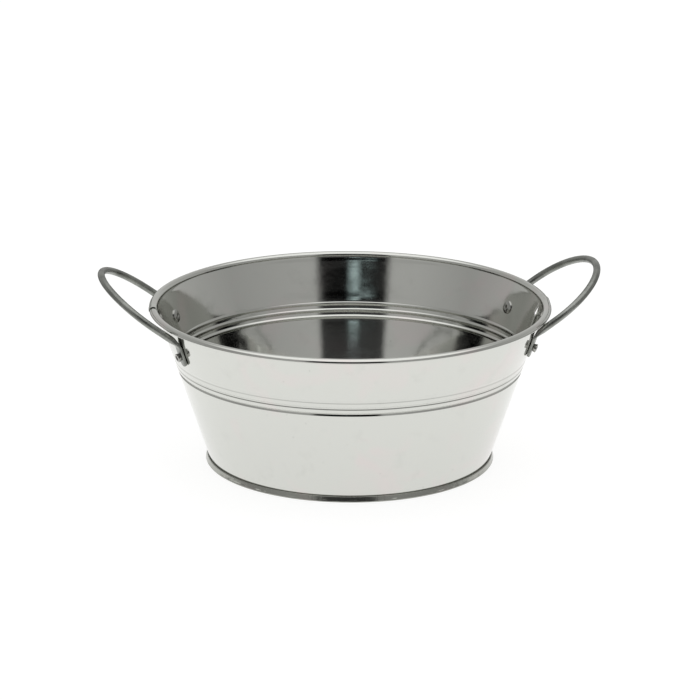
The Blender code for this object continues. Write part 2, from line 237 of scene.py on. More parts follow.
def makeFloor():
    # lit white table, wide enough to fill the view; its glow falls off with distance for all but the camera
    half = studio["floorSize"] / 2
    corners = np.array([[-half, -half, 0], [half, -half, 0], [half, half, 0], [-half, half, 0]])
    corners[:, 2] = cadLow.z
    material = bpy.data.materials.new("opal acrylic table")
    material.use_nodes = True
    shader = material.node_tree.nodes["Principled BSDF"]
    shader.inputs["Base Color"].default_value = linear(studio["floorColour"])
    shader.inputs["Roughness"].default_value = studio["floorRoughness"]
    shader.inputs["Specular IOR Level"].default_value = studio["floorSpecular"]
    shader.inputs["Emission Color"].default_value = (1.0, 1.0, 1.0, 1.0)
    tree = material.node_tree
    place = addNode(tree, "TexCoord")
    away = addNode(tree, "VectorMath", links={0: place.outputs["Object"]}, operation="LENGTH")
    glow = addNode(tree, "MapRange", {"From Min": studio["floorLit"], "From Max": studio["floorDim"],
                                      "To Min": studio["floorGlow"], "To Max": studio["floorFar"]},
                   {"Value": away.outputs["Value"]}, interpolation_type="SMOOTHSTEP")
    path = addNode(tree, "LightPath")
    shown = addNode(tree, "Mix", {"B": studio["floorGlow"]},
                    {"Factor": path.outputs["Is Camera Ray"], "A": glow.outputs["Result"]}, data_type="FLOAT")
    tree.links.new(shown.outputs["Result"], shader.inputs["Emission Strength"])
    mesh = bpy.data.meshes.new("floor")
    mesh.from_pydata(corners.tolist(), [], [(0, 1, 2, 3)])
    mesh.materials.append(material)
    floor = bpy.data.objects.new("floor", mesh)
    bpy.context.scene.collection.objects.link(floor)


def makeRoom():
    # soft light by direction: a bright ceiling and a grey room at eye level, with a dark part behind the
    # camera and a pale strip of daylight in it
    world = bpy.data.worlds.new("studio")
    bpy.context.scene.world = world
    world.use_nodes = True
    tree = world.node_tree
    tree.nodes.clear()
    coordinate = addNode(tree, "TexCoord")
    turned = addNode(tree, "Mapping", {"Rotation": (0, 0, -math.radians(camera["azimuth"]))},
                     {"Vector": coordinate.outputs["Generated"]})
    parts = addNode(tree, "SeparateXYZ", links={"Vector": turned.outputs["Vector"]})
    x, y, z = parts.outputs
    towards = addNode(tree, "Math", {1: -1.0}, {0: y}, operation="MULTIPLY")
    bearing = addNode(tree, "Math", links={0: x, 1: towards.outputs[0]}, operation="ARCTAN2")
    share = addNode(tree, "MapRange", between((-math.pi, math.pi)), {"Value": bearing.outputs[0]})
    room = addNode(tree, "ValToRGB", links={"Fac": share.outputs["Result"]})
    ramp = room.color_ramp
    ramp.elements.remove(ramp.elements[1])
    for degrees, light in studio["room"]:
        stop = ramp.elements[0] if degrees == -180 else ramp.elements.new((degrees + 180) / 360)
        stop.color = (light, light, light * studio["roomBlue"], 1.0)

    level = addNode(tree, "Math", links={0: z}, operation="ARCSINE")
    degree = math.radians(1.0)
    hook = addNode(tree, "MapRange",
                   {"From Min": studio["hookFrom"] * degree, "From Max": studio["hookTo"] * degree,
                    "To Min": studio["doorwayMiddle"] * degree,
                    "To Max": (studio["doorwayMiddle"] + studio["doorwayHook"]) * degree},
                   {"Value": level.outputs[0]}, interpolation_type="SMOOTHSTEP")
    off = addNode(tree, "Math", links={0: bearing.outputs[0], 1: hook.outputs[0]}, operation="SUBTRACT")
    aside = addNode(tree, "Math", links={0: off.outputs[0]}, operation="ABSOLUTE")
    edges = [studio["doorwayHalf"] * studio[key] for key in ("doorwayOuter", "doorwayInner")]
    feet = [studio[key] for key in ("doorwayFoot", "doorwayFull")]
    heads = [studio[key] for key in ("doorwayHead", "hookTo")]
    strip, risen, ended = (
        addNode(tree, "MapRange", between([value * degree for value in pair]), {"Value": source.outputs[0]},
                interpolation_type="SMOOTHSTEP")
        for pair, source in ((edges, aside), (feet, level), (heads, level)))
    height = addNode(tree, "Math", links={0: risen.outputs[0], 1: ended.outputs[0]}, operation="MULTIPLY")
    doorway = addNode(tree, "Math", links={0: strip.outputs[0], 1: height.outputs[0]}, operation="MULTIPLY")
    glimmer = addNode(tree, "MapRange", {"To Min": studio["glimmer"], "To Max": 0.0},
                      {"Value": risen.outputs[0]})
    dusk = addNode(tree, "Mix", {"Factor": 1.0}, {"A": room.outputs["Color"], "B": glimmer.outputs[0]},
                   data_type="RGBA", blend_type="ADD")
    daylight = [c * studio["doorwayLight"] for c in linear(studio["doorway"])[:3]] + [1.0]
    lit = addNode(tree, "Mix", {"B": daylight}, {"Factor": doorway.outputs[0], "A": dusk.outputs["Result"]},
                  data_type="RGBA")

    above = addNode(tree, "MapRange", {"From Min": math.sin(math.radians(studio["overheadFrom"])),
                                       "From Max": math.sin(math.radians(studio["overheadFull"]))},
                    {"Value": z}, interpolation_type="SMOOTHSTEP")
    ceiling = [studio["overhead"]] * 3 + [1.0]
    dome = addNode(tree, "Mix", {"B": ceiling}, {"Factor": above.outputs[0], "A": lit.outputs["Result"]},
                   data_type="RGBA")
    path = addNode(tree, "LightPath")
    backdrop = [studio["backdrop"]] * 3 + [1.0]
    seen = addNode(tree, "Mix", {"B": backdrop}, {"Factor": path.outputs["Is Camera Ray"],
                                                  "A": dome.outputs["Result"]}, data_type="RGBA")
    background = addNode(tree, "Background", links={"Color": seen.outputs["Result"]})
    addNode(tree, "OutputWorld", links={"Surface": background.outputs[0]})


makeFloor()
makeRoom()
bpy.context.scene.view_settings.view_transform = "Standard"
print("studio lit")


def startMetal(name):
    # a metal to be finished: its material, node tree and shader, and the object's own coordinates
    material = bpy.data.materials.new(name)
    material.use_nodes = True
    tree = material.node_tree
    shader = tree.nodes["Principled BSDF"]
    shader.inputs["Metallic"].default_value = 1.0
    return material, tree, shader, addNode(tree, "TexCoord").outputs["Object"]


def coat(material, shader, colour, roughness, bump):
    # finishes a metal: its colour, roughness and relief feed its shader
    links = material.node_tree.links
    links.new(colour, shader.inputs["Base Color"])
    links.new(roughness.outputs[0], shader.inputs["Roughness"])
    links.new(bump.outputs[0], shader.inputs["Normal"])
    return material


tinplate = {
    "colour": "D5D6D1",     # clean tin, a slightly warm white metal
    "warm": "D9D4D1",       # faint pink where it was handled
    "dull": "CECFCA",
    "speckColour": "BDBEB8",
    "paintedShade": "A9AAA5",      # painted shade: a dark colour that multiplies the tin's own colour
    "roughness": 0.07,
    "rubbed": 0.15,
    "streak": 0.0006,       # real rolling lines are about 0.05 mm apart, drawn coarser so that they show
    "streakLength": 0.07,
    "patch": 0.030,
    "speck": 0.0022,
    "ripple": 0.009,        # length of the shallow ripples left by rolling and handling
    "rippleDepth": 0.00003,
    "streakDepth": 0.0000006,
    "streakSpread": 0.03,   # how much rougher the tin is along a rolling line
    "streakLevels": (0.3, 0.7),     # noise levels between which each effect sets in
    "warmLevels": (0.52, 0.72),
    "dullLevels": (0.56, 0.80),
    "rubbedLevels": (0.45, 0.85),
    "speckLevels": (0.06, 0.03),
    "dullMost": 0.75,
    "speckMost": 0.5,
    "smudgeShare": 2.4,     # smudges to the length of one patch
    "speckShare": 0.18,     # size of a speck against the cell that it lies in
    "chatterDepth": 0.00010,
    "chatterStretch": 0.12,
}


def makeTinplate(name, rough=0.0, marks=0.0, paintedShade=0.0):
    # electrolytic tinplate, cold rolled and flow brightened: a near mirror that blurs a little along fine
    # rolling lines, with soft handling smudges, shallow ripples and a few dull specks; rough dulls it, a
    # painted shade darkens its colour by the given share, and marks is the spacing of a seaming roll's
    # chatter
    material, tree, shader, place = startMetal(name)
    around = addNode(tree, "UVMap", uv_map="sheetUv")
    streakScale = (1 / tinplate["streakLength"], 1 / tinplate["streak"], 1.0)
    lines = addNode(tree, "Mapping", {"Scale": streakScale}, {"Vector": around.outputs[0]})
    streaks = addNode(tree, "TexNoise", {"Scale": 1.0, "Detail": 4.0, "Roughness": 0.6},
                      {"Vector": lines.outputs[0]})
    patches = addNode(tree, "TexNoise", {"Scale": 1 / tinplate["patch"], "Detail": 3.0, "Distortion": 0.6},
                      {"Vector": place})
    smudgeScale = tinplate["smudgeShare"] / tinplate["patch"]
    smudges = addNode(tree, "TexNoise", {"Scale": smudgeScale, "Detail": 5.0, "Roughness": 0.65},
                      {"Vector": place})
    speckScale = tinplate["speckShare"] / tinplate["speck"]
    specks = addNode(tree, "TexVoronoi", {"Scale": speckScale}, {"Vector": place})
    handled = addNode(tree, "MapRange", between(tinplate["warmLevels"]), {"Value": patches.outputs["Fac"]})
    dulled = addNode(tree, "MapRange", between(tinplate["dullLevels"]) | {"To Max": tinplate["dullMost"]},
                     {"Value": smudges.outputs["Fac"]})
    spotted = addNode(tree, "MapRange", between(tinplate["speckLevels"]) | {"To Max": tinplate["speckMost"]},
                      {"Value": specks.outputs["Distance"]})
    warmed = addNode(tree, "Mix", {"A": linear(tinplate["colour"]), "B": linear(tinplate["warm"])},
                     {"Factor": handled.outputs[0]}, data_type="RGBA")
    greyed = addNode(tree, "Mix", {"B": linear(tinplate["dull"])},
                     {"Factor": dulled.outputs[0], "A": warmed.outputs["Result"]}, data_type="RGBA")
    dotted = addNode(tree, "Mix", {"B": linear(tinplate["speckColour"])},
                     {"Factor": spotted.outputs[0], "A": greyed.outputs["Result"]}, data_type="RGBA")
    # painted shade: the colour is multiplied towards a dark grey by the given share
    shadeDarkened = addNode(tree, "Mix", {"Factor": paintedShade, "B": linear(tinplate["paintedShade"])},
                     {"A": dotted.outputs["Result"]}, data_type="RGBA", blend_type="MULTIPLY")
    plain = tinplate["roughness"] + rough
    rolled = addNode(tree, "MapRange", between(tinplate["streakLevels"])
                     | {"To Min": plain, "To Max": plain + tinplate["streakSpread"]},
                     {"Value": streaks.outputs["Fac"]})
    worn = addNode(tree, "MapRange", between(tinplate["rubbedLevels"])
                   | {"To Max": tinplate["rubbed"] - tinplate["roughness"]},
                   {"Value": smudges.outputs["Fac"]})
    roughness = addNode(tree, "Math", links={0: rolled.outputs[0], 1: worn.outputs[0]}, operation="ADD")
    relief, height = streaks.outputs["Fac"], tinplate["streakDepth"]
    if marks:
        chatterScale = (1 / marks, tinplate["chatterStretch"] / marks, 1.0)
        chatterPlace = addNode(tree, "Mapping", {"Scale": chatterScale}, {"Vector": around.outputs[0]})
        chatter = addNode(tree, "TexNoise", {"Scale": 1.0, "Detail": 3.0},
                          {"Vector": chatterPlace.outputs[0]})
        relief, height = chatter.outputs["Fac"], tinplate["chatterDepth"]
    ripple = addNode(tree, "TexNoise", {"Scale": 1 / tinplate["ripple"], "Detail": 2.0},
                     {"Vector": place})
    bowed = addNode(tree, "Bump", {"Strength": 1.0, "Distance": tinplate["rippleDepth"]},
                    {"Height": ripple.outputs["Fac"]})
    bump = addNode(tree, "Bump", {"Strength": 1.0, "Distance": height},
                   {"Height": relief, "Normal": bowed.outputs[0]})
    return coat(material, shader, shadeDarkened.outputs["Result"], roughness, bump)


wireFinish = {
    "colour": "959792",
    "bright": "A6A8A4",
    "dark": "7E807C",
    "roughness": 0.27,
    "dieLine": 0.00045,     # real die lines are about 0.02 mm apart, drawn coarser so that they show
    "grain": 0.0011,
    "blur": 0.14,           # how much rougher the dullest grains are
    "blurLevels": (0.3, 0.7),
    "plateStops": (0.32, 0.5, 0.70),    # noise levels of dark, plain and bright plate
    "cloudShare": 0.1,      # size of a grain against a cloud's
    "dieStretch": 18.0,     # die lines' changes to the metre along the wire
    "dieDepth": 0.00003,
    "dieStrength": 0.6,
    "pitDepth": 0.00004,
    "pitStrength": 0.5,
}


def makeWireFinish():
    # bright zinc plate on drawn low-carbon wire: soft satin shine broken by lengthwise die lines, with a
    # slightly cloudy grey plate
    material, tree, shader, place = startMetal("zinc-plated drawn steel wire")
    around = addNode(tree, "UVMap", uv_map="sheetUv")
    lines = addNode(tree, "Mapping", {"Scale": (1 / wireFinish["dieLine"], wireFinish["dieStretch"], 1.0)},
                    {"Vector": around.outputs[0]})
    drawn = addNode(tree, "TexNoise", {"Scale": 1.0, "Detail": 3.0}, {"Vector": lines.outputs[0]})
    cloudScale = wireFinish["cloudShare"] / wireFinish["grain"]
    cloud = addNode(tree, "TexNoise", {"Scale": cloudScale, "Detail": 4.0}, {"Vector": place})
    grain = addNode(tree, "TexNoise", {"Scale": 1 / wireFinish["grain"], "Detail": 2.0},
                    {"Vector": place})
    plate = addNode(tree, "ValToRGB", links={"Fac": cloud.outputs["Fac"]})
    darkAt, plainAt, brightAt = wireFinish["plateStops"]
    plate.color_ramp.elements[0].position = darkAt
    plate.color_ramp.elements[0].color = linear(wireFinish["dark"])
    plate.color_ramp.elements[1].position = brightAt
    plate.color_ramp.elements[1].color = linear(wireFinish["bright"])
    middle = plate.color_ramp.elements.new(plainAt)
    middle.color = linear(wireFinish["colour"])
    shiniest = wireFinish["roughness"]
    roughness = addNode(tree, "MapRange", between(wireFinish["blurLevels"])
                        | {"To Min": shiniest, "To Max": shiniest + wireFinish["blur"]},
                        {"Value": grain.outputs["Fac"]})
    grooves = addNode(tree, "Bump",
                      {"Strength": wireFinish["dieStrength"], "Distance": wireFinish["dieDepth"]},
                      {"Height": drawn.outputs["Fac"]})
    pits = addNode(tree, "Bump", {"Strength": wireFinish["pitStrength"], "Distance": wireFinish["pitDepth"]},
                   {"Height": grain.outputs["Fac"], "Normal": grooves.outputs[0]})
    return coat(material, shader, plate.outputs["Color"], roughness, pits)


rivetSteel = {
    "sharper": 0.06,        # how far the roughness goes below and above its middle value
    "duller": 0.10,
    "markDepth": 0.00002,
    "markStrength": 0.3,
}


def makeRivetFinish(name, light, dark, roughness, grainSize):
    # pressed steel, barrel plated or phosphated: a dull shine with fine tumbling marks and darker hollows
    material, tree, shader, place = startMetal(name)
    marks = addNode(tree, "TexNoise", {"Scale": 1 / grainSize, "Detail": 4.0}, {"Vector": place})
    shade = addNode(tree, "Mix", {"A": linear(light), "B": linear(dark)},
                    {"Factor": marks.outputs["Fac"]}, data_type="RGBA")
    blur = addNode(tree, "MapRange",
                   {"To Min": roughness - rivetSteel["sharper"], "To Max": roughness + rivetSteel["duller"]},
                   {"Value": marks.outputs["Fac"]})
    bump = addNode(tree, "Bump",
                   {"Strength": rivetSteel["markStrength"], "Distance": rivetSteel["markDepth"]},
                   {"Height": marks.outputs["Fac"]})
    return coat(material, shader, shade.outputs["Result"], blur, bump)


wallFinish = makeTinplate("flow-brightened tinplate")
# the base's colour is darkened all over by painted shade, standing in for the shade seen on the foot ring
baseFinish = makeTinplate("flow-brightened tinplate, roll seamed", rough=0.08, marks=0.0016, paintedShade=0.7)
handleFinish = makeWireFinish()
rivetFinish = makeRivetFinish("zinc-plated rivet steel", "BEBEBA", "9C9C98",
                              roughness=0.13, grainSize=0.0009)
mandrelFinish = makeRivetFinish("phosphated mandrel steel", "77756F", "4E4C47",
                                roughness=0.42, grainSize=0.0007)
print("finishes mixed")


base = {
    "panelHeight": 0.0030,      # middle of the bottom panel's sheet
    "corner": 0.0005,
    "crown": 0.00025,           # how far the panel's middle springs up
    "pinhole": 0.0004,          # radius of the flat face that closes the panel's middle
    "columns": 480,
    "panelRows": 26,
    "roundRows": 7,
    "chatter": 0.00007,         # depth of the seaming roll's marks on the ring
    "chatterWaves": 23,         # regular marks round the ring, which two slow swings crowd and spread
    "chatterSwing": 2,
    "chatterShare": 0.8,        # regular marks against random ones
    "chatterInside": 0.0004,    # how far inside the ring's outer face the marks begin, and their run-up
    "chatterEdge": 0.0003,
    "chatterRise": 0.0012,
}
wall = {
    "slope": 0.3335,            # outward run per unit of height
    "curlWidth": 0.0054,
    "curlHeight": 0.0032,
    "curlAbove": 0.74,          # share of its height that lies above its widest part
    "curlStart": 210.0,         # degrees round the curl's middle
    "curlEnd": -125.0,
    "curlLead": 0.0013,
    "beadHeights": (0.0630, 0.0672, 0.0716),    # from the lowest up
    "beadWidths": (0.0026, 0.0028, 0.0029),
    "beadRoom": 0.0020,         # finer rows reach this far past the outer beads' middles
    "beadDepths": (0.00090, 0.00046, 0.00035),
    "beadSkew": 0.0007,         # how far they climb to the front and fall to the rear
    "beadZone": (0.045, 0.088), # heights between which the sheet follows them
    "beadFade": 0.012,
    "drawnAbove": 0.00015,      # how far the beads draw the sheet in just above them, and out just below
    "drawnBelow": 0.00006,
    "drawnReachAbove": 0.005,   # over which both fade
    "drawnReachBelow": 0.008,
    "seamReach": 0.0024,        # from a seam's middle to the centre of each fold
    "seamLow": 0.012,
    "seamHigh": 0.0922,
    "seamRamp": 0.005,          # heights over which the seam flattens out below and above these
    "seamFade": 0.0080,
    "seamLayer": 0.0004,        # from the middle of one flattened layer to the next
    "joggleInner": 0.0033,
    "joggleOuter": 0.0056,
    "butt": 0.0002,             # half the gap between the halves above and below a seam
    "lap": 0.0016,              # how far one rim's end runs over the other
    "lapReach": 0.0090,         # length over which each end bends to make room
    "flare": 0.00035,           # how far that end stands off
    "tuck": 0.00022,            # how far the end beneath is pressed in
    "wave": 0.00007,            # the hand-fed sheet's slow waves
    "waveFoot": 0.020,          # heights over which they die out at the foot and at the rim
    "waveRim": 0.012,
    "dimple": 0.00024,          # how far each rivet draws the sheet out
    "dimpleReach": 0.0072,
    "dimpleLimit": 0.020,
    "uvHeight": 0.060,          # height where the surface pattern keeps its scale round the wall
    "clear": 1.1,               # the plain columns begin this many joggle or lap lengths from a seam
    "hookColumns": 5,
    "foldColumns": 9,
    "lapColumns": 11,
    "jointColumns": 20,
    "plainColumns": 128,
    "flangeRows": 4,
    "footRows": 3,
    "turnRows": 12,
    "curlRows": 40,
    "curlOnset": 8,             # rows over which the curl's start takes up the lap
    "roundedRows": 3,           # rows on each side of the curl's start that are smoothed together
    "pressedLayer": 0.00037,    # spacing of the folded layers at the top of the foot ring
}
foldLow = sheet["thickness"] / 2 + 2 * sheet["layer"]
foldHigh = baseHigh.z - sheet["thickness"] / 2 - sheet["layer"]
rivet = {
    "turn": 22.2,               # degrees from the seams
    "hole": 0.00205,
    "window": 0.006,            # half the side of the finer cells round a rivet
    "cells": 16,
    "holeCells": 3,
    "drillSides": 48,
    "drillReach": 0.004,
}
slopeAngle = math.atan(wall["slope"])
nodeCentre = (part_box("rivet_right_rear")[0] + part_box("rivet_right_rear")[1]) / 2


def wallRadius(z):
    # middle of the plain wall's sheet: the foot's radius plus the slope times the height above the ring
    return footMid + wall["slope"] * (z - baseHigh.z)


def beadDepth(z):
    # each bead is one wave of a raised cosine pressed inwards; past the beads the sheet they draw along fades
    # out exponentially
    depth = np.zeros_like(z)
    for middle, wide, deep in zip(wall["beadHeights"], wall["beadWidths"], wall["beadDepths"]):
        off = (z - middle) / wide
        depth += np.where(np.abs(off) < 0.5, deep * 0.5 * (1 + np.cos(2 * math.pi * off)), 0.0)
    low, top = (wall["beadHeights"][i] + sign * wall["beadRoom"] for i, sign in ((0, -1), (-1, 1)))
    above = wall["drawnAbove"] * np.exp(-np.maximum(z - top, 0.0) / wall["drawnReachAbove"])
    below = wall["drawnBelow"] * np.exp(-np.maximum(low - z, 0.0) / wall["drawnReachBelow"])
    share = np.clip((z - low) / (top - low), 0.0, 1.0)
    return depth + share * above - (1 - share) * below


def foldReach(z, layers):
    # distance of a folded layer from the wall at the foot, where the layers are pressed tighter towards the
    # ring's top
    tight = np.clip((z - base["corner"]) / (foldHigh - base["corner"]), 0.0, 1.0)
    return layers * (sheet["layer"] + tight * (wall["pressedLayer"] - sheet["layer"]))


def wallProfile(relief, rivetZ):
    # radius and height of each row: the flange in the foot seam, a half circle, the straight flared wall with
    # its beads, then the rim's oval; also each row's height without the beads, and how far it is in the curl
    thickness, fold = sheet["thickness"], foldReach(foldLow, 1)
    turn = span(0.0, -math.pi, wall["turnRows"])
    across, tall = (wall["curlWidth"] - thickness) / 2, wall["curlHeight"] - thickness
    upper, lower = tall * wall["curlAbove"], tall * (1 - wall["curlAbove"])
    centreR, centreZ = shellHigh.y - thickness / 2 - across, shellHigh.z - thickness / 2 - upper
    leadZ = centreZ - wall["curlLead"]
    beadsFrom = wall["beadHeights"][0] - wall["beadRoom"]
    beadsTo = wall["beadHeights"][-1] + wall["beadRoom"]
    seamFoot = wall["seamLow"] - wall["seamRamp"]
    window = rivet["window"] * math.cos(slopeAngle)
    stretches = (  # from, to, rows
        (baseHigh.z, seamFoot, 3),
        (seamFoot, wall["seamLow"], 5),
        (wall["seamLow"], beadsFrom, 26),
        (beadsFrom, beadsTo, 54),
        (beadsTo, rivetZ - window, 2),
        (rivetZ - window, rivetZ + window, rivet["cells"]),
        (rivetZ + window, wall["seamHigh"], 3),
        (wall["seamHigh"], leadZ, 13),
    )
    z = np.concatenate([span(*stretch) for stretch in stretches])
    oval = np.radians(np.linspace(wall["curlStart"], wall["curlEnd"], wall["curlRows"]))
    sunk = relief * beadDepth(z)
    flangeZ = span(foldHigh, foldLow, wall["flangeRows"])
    footZ = span(foldLow, baseHigh.z, wall["footRows"])
    foldZ = foldLow + fold * np.sin(turn)
    ovalZ = centreZ + np.where(np.sin(oval) > 0, upper, lower) * np.sin(oval)
    r = np.concatenate([
        footMid + foldReach(flangeZ, 2),
        footMid + fold + fold * np.cos(turn),
        np.full(wall["footRows"], footMid),
        wallRadius(z) - sunk * math.cos(slopeAngle),
        centreR + across * np.cos(oval),
    ])
    height = np.concatenate([flangeZ, foldZ, footZ, z + sunk * math.sin(slopeAngle), ovalZ])
    plain = np.concatenate([flangeZ, foldZ, footZ, z, ovalZ])
    rows = np.stack([r, height], axis=1)
    first = len(rows) - len(oval)
    near = wall["roundedRows"]
    for _ in range(3):  # rounds the corner between the wall and the curl
        corner = rows[first - near:first + near + 1]
        corner[1:-1] = (corner[:-2] + 2 * corner[1:-1] + corner[2:]) / 4
    curled = np.concatenate([np.zeros(first), ease(np.arange(len(oval)) / wall["curlOnset"])])
    return rows, plain, curled


def profileNormals(rows):
    # unit normals of a profile, on its left side going up: the tub's inside on the wall
    along = np.gradient(rows, axis=0)
    normals = np.stack([-along[:, 1], along[:, 0]], axis=1)
    return normals / np.linalg.norm(normals, axis=1, keepdims=True)


def wallColumns(rivetRadius):
    # columns round one half: the hook that starts it, the joggle, the wall and the hook that ends it;
    # each has an angle, a distance along the wall from it, a depth in the seam and whether it is hook only
    reach, layer, butt = wall["seamReach"], wall["seamLayer"], wall["butt"]
    turn = math.radians(rivet["turn"])
    half = rivet["window"] / rivetRadius
    startEdge, endEdge = (wall["clear"] * wall[key] / footMid for key in ("joggleOuter", "lapReach"))
    hook, joint = wall["hookColumns"], wall["jointColumns"]
    fold = np.linspace(-math.pi / 2, -1.5 * math.pi, wall["foldColumns"])
    joggle = np.linspace(0, 1, wall["foldColumns"])[1:]
    ending = np.linspace(-wall["lapReach"], -butt, wall["lapColumns"])
    stretches = (  # from, to, columns
        (startEdge, turn - half, joint),
        (turn - half, turn + half, rivet["cells"]),
        (turn + half, math.pi - turn - half, wall["plainColumns"]),
        (math.pi - turn - half, math.pi - turn + half, rivet["cells"]),
        (math.pi - turn + half, math.pi - endEdge, joint),
    )
    middle = np.concatenate([span(*stretch) for stretch in stretches])
    parts = [  # angle, distance, depth, hook only
        (0.0, span(reach, -reach, hook), layer, True),
        (0.0, -reach + layer * np.cos(fold), 2 * layer + layer * np.sin(fold), True),
        (0.0, np.linspace(-reach, butt, hook)[1:-1], 3 * layer, True),
        (0.0, np.linspace(butt, wall["joggleInner"], hook - 1), 3 * layer, False),
        (0.0, wall["joggleInner"] + joggle * (wall["joggleOuter"] - wall["joggleInner"]),
         3 * layer * (1 - ease(joggle)), False),
        (middle, 0.0, 0.0, False),
        (math.pi, ending, 0.0, False),
        (math.pi, np.linspace(-butt, reach, hook)[1:-1], 0.0, True),
        (math.pi, reach - layer * np.cos(fold), layer + layer * np.sin(fold), True),
        (math.pi, np.linspace(reach, -reach, hook + 1)[1:], 2 * layer, True),
    ]
    table = [np.broadcast_arrays(*part) for part in parts]
    return [np.concatenate([row[i] for row in table]) for i in range(4)]


def sheetWave(angle, z):
    # slow waves of a rolled sheet: a few sines round the wall, each drifting with height
    share = z / shellHigh.z
    return (np.sin(5 * angle + 2.1 * share + 0.4) + 0.7 * np.sin(9 * angle - 3.4 * share + 2.0)
            + 0.5 * np.sin(14 * angle + 5.2 * share + 4.1) + 0.6 * np.sin(3 * angle + 6.0 * share)) / 2.8


def makeHalfWall(name, node, start):
    # each point: the profile's radius and height, moved along its normal by the seam's depth, the rim's lap,
    # the sheet's waves and the dimples, at the column's angle plus its distance over the radius; round a
    # rivet's axis the cells of a square are left out, and those around it are drawn in to the round hole
    rivetZ = rivetSpot(math.radians(rivet["turn"])).z
    rows, plainZ, curled = wallProfile(1.0, rivetZ)
    normals = profileNormals(wallProfile(0.0, rivetZ)[0])
    angle, distance, depth, hook = wallColumns(wallRadius(rivetZ))
    r, z = rows[:, :1], rows[:, 1:]
    seamed = ease((plainZ - wall["seamLow"] + wall["seamRamp"]) / wall["seamRamp"])
    seamed = (seamed * ease((wall["seamHigh"] + wall["seamFade"] - plainZ) / wall["seamFade"]))[:, None]
    rivetAngles = (math.radians(rivet["turn"]), math.pi - math.radians(rivet["turn"]))
    fromStart = np.where(angle == 0.0, distance, 1.0)[None, :]
    fromEnd = np.where(angle == math.pi, distance, -1.0)[None, :]
    lapping = ease(1 + fromEnd / wall["lapReach"]) * curled[:, None]
    tucked = ease(1 - fromStart / wall["lapReach"]) * curled[:, None]
    theta = angle[None, :] + (distance[None, :] + wall["lap"] * lapping) / r
    height = np.broadcast_to(z, theta.shape).copy()
    radius = np.broadcast_to(r, theta.shape).copy()
    zoneFrom, zoneTo = wall["beadZone"]
    inZone = ease((plainZ - zoneFrom) / wall["beadFade"]) * ease((zoneTo - plainZ) / wall["beadFade"])
    skew = -wall["beadSkew"] * np.sin(theta + start) * inZone[:, None]
    height += skew
    radius += wall["slope"] * skew
    out = np.zeros_like(theta)
    half = rivet["window"] * rivet["holeCells"] * 2 / rivet["cells"]  # half the side of the square left out
    for centre in rivetAngles:
        x = (theta - centre) * radius
        y = (height - rivetZ) / math.cos(slopeAngle)
        box = np.maximum(np.abs(x), np.abs(y))
        ring = np.maximum(np.hypot(x, y), 1e-9)
        squared = ease((box - half) / (rivet["window"] - half))
        drawn = squared + (1 - squared) * (rivet["hole"] + box - half) / ring
        scale = np.where(box < rivet["window"], drawn, 1.0)
        theta = centre + x * scale / radius
        moved = rivetZ + y * scale * math.cos(slopeAngle) - height
        height += moved
        radius += wall["slope"] * moved
        near = np.abs(y) < wall["dimpleLimit"]
        out += wall["dimple"] * np.exp(-(ring * scale / wall["dimpleReach"]) ** 2) * near
    lift = np.where(hook[None, :] > 0, depth[None, :], depth[None, :] * seamed)
    lift = lift + wall["flare"] * lapping - wall["tuck"] * tucked - out
    firm = ease((plainZ - baseHigh.z) / wall["waveFoot"]) * ease((shellHigh.z - plainZ) / wall["waveRim"])
    lift = lift + wall["wave"] * sheetWave(theta + start, height) * firm[:, None]
    radius = radius + lift * normals[:, :1]
    height = height + lift * normals[:, 1:]
    theta = theta + start
    points = polar(radius, theta, height)
    alongWall = lengthAlong(rows)[:, None]
    uv = np.stack([theta * wallRadius(wall["uvHeight"]), np.broadcast_to(alongWall, theta.shape)], axis=-1)
    inSeam = (plainZ > wall["seamLow"] - 1e-6) & (plainZ < wall["seamHigh"] + 1e-6) & (curled == 0)
    seamCells = (inSeam[:-1] & inSeam[1:])[:, None]
    hookCells = ((hook[:-1] + hook[1:]) > 0)[None, :]
    keep = seamCells | ~hookCells
    for centre in rivetAngles:
        nearColumn = np.argmin(np.abs(np.where(distance == 0.0, angle, -9.0) - centre))
        nearRow = np.argmin(np.abs(plainZ - rivetZ) + curled)
        reach = rivet["holeCells"]
        keep[nearRow - reach:nearRow + reach, nearColumn - reach:nearColumn + reach] = False
    piece = gridMesh(name, points, uv, wallFinish, keep=keep)
    thicken(piece)
    assign(piece, node)


def rivetSpot(azimuth):
    # point on the plain wall's outer face on a rivet's axis
    z = rivetMiddle
    radius = wallRadius(z) + sheet["thickness"] / 2 / math.cos(slopeAngle)
    return Vector((radius * math.cos(azimuth), radius * math.sin(azimuth), z))


# the rivet node's middle lies on its axis; the axis meets the wall's outer face at this height
outOfWall = math.hypot(nodeCentre.x, nodeCentre.y) - wallRadius(nodeCentre.z) - sheet["thickness"] / 2
rivetMiddle = nodeCentre.z + outOfWall * math.cos(slopeAngle) * math.sin(slopeAngle)

makeHalfWall("rear_half_wall", "shell_rear", 0.0)
makeHalfWall("front_half_wall", "shell_front", math.pi)
print("half walls rolled and seamed")


